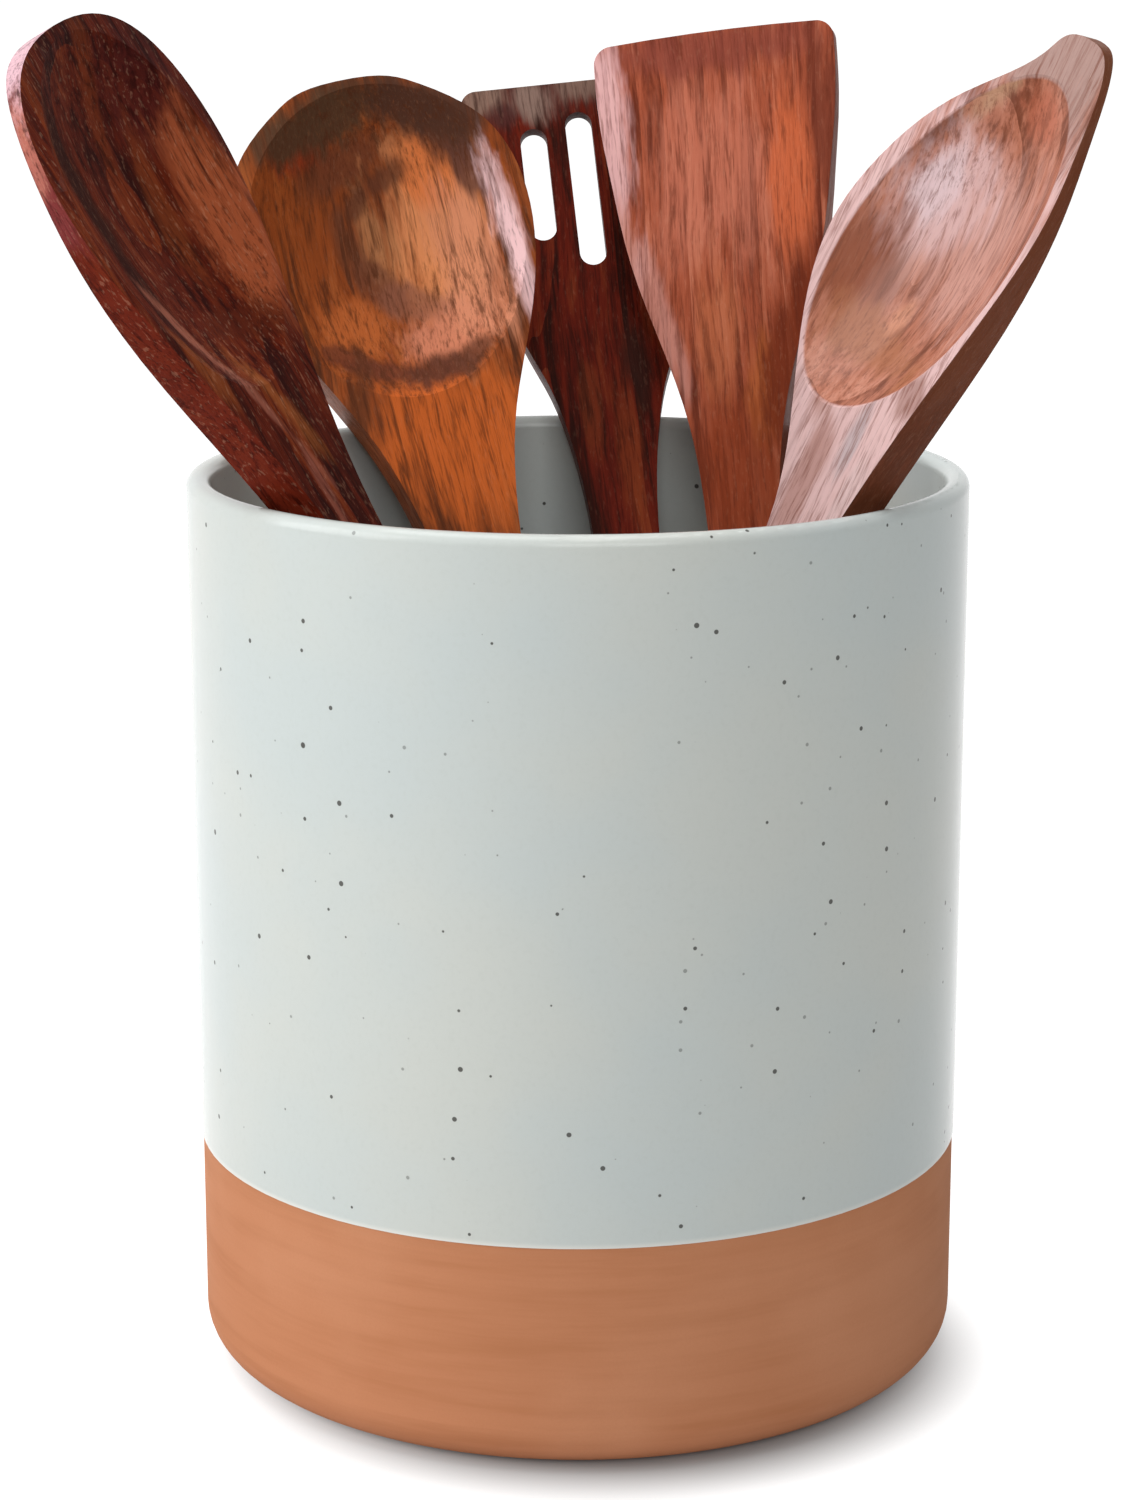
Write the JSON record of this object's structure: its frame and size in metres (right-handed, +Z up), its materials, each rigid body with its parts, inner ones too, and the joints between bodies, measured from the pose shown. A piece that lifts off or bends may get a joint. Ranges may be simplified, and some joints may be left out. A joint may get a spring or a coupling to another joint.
{
  "type": "utensil crock",
  "caption": "Glazed terracotta utensil crock with carved wooden spoons and turners that lift out.",
  "frame": {"origin": "centre of the crock's flat base, on the surface it stands on", "axes": "+Z up the crock, -Y towards the viewer of the picture"},
  "size_m": [0.2023, 0.1837, 0.2787],
  "materials": {
    "terracotta": "matte",
    "glaze": "gloss",
    "oval_spoon_wood": "oiled",
    "round_spoon_wood": "oiled",
    "slotted_turner_wood": "oiled",
    "flat_turner_wood": "oiled",
    "corner_spoon_wood": "oiled"
  },
  "bodies": {
    "crock": {"crock_body": "terracotta", "crock_glaze": "glaze"},
    "oval_spoon": {"oval_spoon": "oval_spoon_wood"},
    "round_spoon": {"round_spoon": "round_spoon_wood"},
    "slotted_turner": {"slotted_turner": "slotted_turner_wood"},
    "flat_turner": {"flat_turner": "flat_turner_wood"},
    "corner_spoon": {"corner_spoon": "corner_spoon_wood"}
  },
  "joints": [
    {"name": "oval_spoon_lift", "type": "slide", "parent": "crock", "child": "oval_spoon", "axis": [-0.4976, -0.0278, 0.8669], "range_m": [0, 0.2131]},
    {"name": "round_spoon_lift", "type": "slide", "parent": "crock", "child": "round_spoon", "axis": [-0.2444, 0.2845, 0.927], "range_m": [0, 0.1996]},
    {"name": "slotted_turner_lift", "type": "slide", "parent": "crock", "child": "slotted_turner", "axis": [-0.1091, 0.4501, 0.8863], "range_m": [0, 0.2085]},
    {"name": "flat_turner_lift", "type": "slide", "parent": "crock", "child": "flat_turner", "axis": [-0.06, 0.3172, 0.9464], "range_m": [0, 0.1956]},
    {"name": "corner_spoon_lift", "type": "slide", "parent": "crock", "child": "corner_spoon", "axis": [0.3964, -0.2014, 0.8957], "range_m": [0, 0.2064]}
  ]
}
